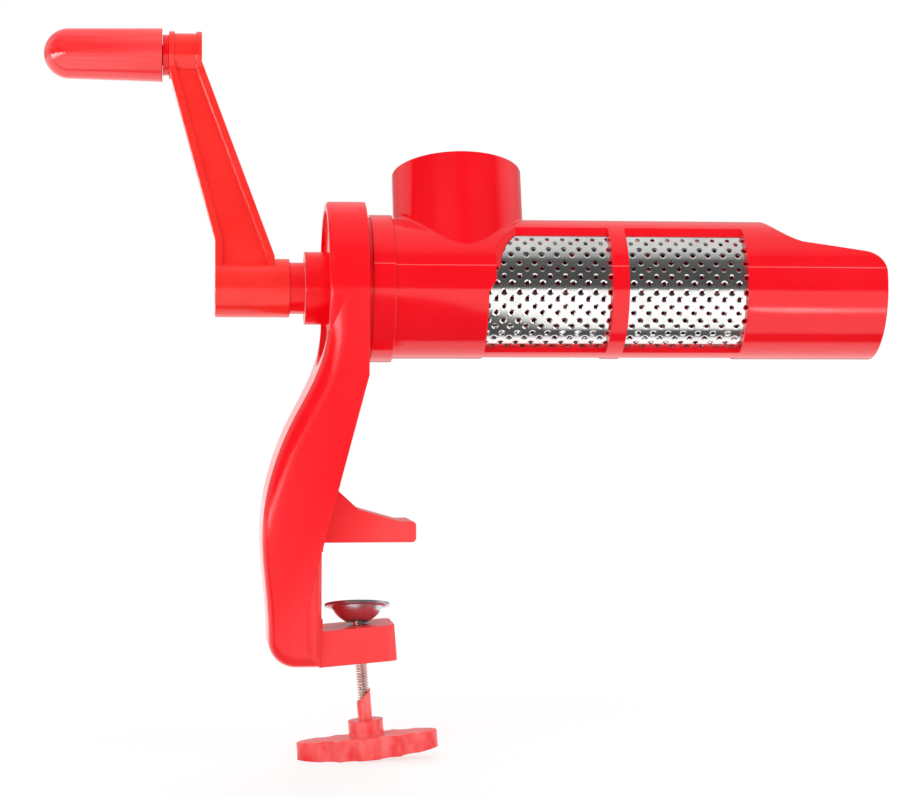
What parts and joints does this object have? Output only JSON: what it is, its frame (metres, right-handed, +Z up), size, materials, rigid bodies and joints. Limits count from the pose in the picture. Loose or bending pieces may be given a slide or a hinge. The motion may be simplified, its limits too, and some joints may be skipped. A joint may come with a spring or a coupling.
{
  "type": "hand crank screw juicer",
  "caption": "Hand-crank screw juicer and strainer: table clamp stand, leaning barrel with feed throat, windows over a perforated steel sleeve, pulp chute, auger, crank arm and turning grip.",
  "frame": {"origin": "centre of the upper jaw's underside, the face that rests on the table top", "axes": "+X along the drive axis from the crank to the pulp chute, +Z up, +Y to the rear"},
  "size_m": [0.3984, 0.0884, 0.3471],
  "materials": {
    "red_plastic": "glossy injection moulded red plastic",
    "soft_red_plastic": "slightly milky moulded red plastic",
    "auger_plastic": "moulded red plastic, a deeper red inside the barrel",
    "strainer_steel": "bright perforated stainless sheet",
    "pad_steel": "pressed bright steel",
    "screw_steel": "zinc plated threaded rod",
    "zinc_steel": "zinc plated fasteners",
    "insert_brass": "turned brass",
    "nylon": "natural nylon",
    "seal_rubber": "black rubber"
  },
  "bodies": {
    "stand": {"stand": "red_plastic", "shaft_bush": "nylon", "jaw_nut": "zinc_steel", "thrust_washer": "nylon"},
    "barrel": {"barrel": "red_plastic", "strainer": "strainer_steel"},
    "crank": {"auger": "auger_plastic", "shaft_seal": "seal_rubber", "shaft_insert": "insert_brass", "crank_arm": "red_plastic", "crank_washer": "zinc_steel", "crank_bolt": "zinc_steel", "grip_pin": "red_plastic"},
    "grip": {"grip": "soft_red_plastic"},
    "pad": {"clamp_pad": "pad_steel"},
    "screw": {"clamp_screw": "screw_steel", "clamp_knob": "soft_red_plastic"}
  },
  "joints": [
    {"name": "barrel_twist", "type": "hinge", "parent": "stand", "child": "barrel", "pos_m": [0, 0, 0.1202], "axis": [1, 0, 0], "range_deg": [-20, 17]},
    {"name": "crank_turn", "type": "hinge", "parent": "stand", "child": "crank", "pos_m": [0, 0, 0.1202], "axis": [1, 0, 0], "continuous": true},
    {"name": "grip_spin", "type": "hinge", "parent": "crank", "child": "grip", "pos_m": [-0.12, 0, 0.2301], "axis": [1, 0, 0], "continuous": true},
    {"name": "pad_travel", "type": "slide", "parent": "stand", "child": "pad", "axis": [-0.0819, 0, 0.9966], "range_m": [0, 0.0241]},
    {"name": "screw_turn", "type": "hinge", "parent": "pad", "child": "screw", "pos_m": [-0.0044, 0, -0.0402], "axis": [-0.0819, 0, 0.9966], "range_deg": [0, 6912]}
  ],
  "couplings": [
    {"joint": "pad_travel", "follows": "screw_turn", "m_per_rad": 0.00019894}
  ]
}
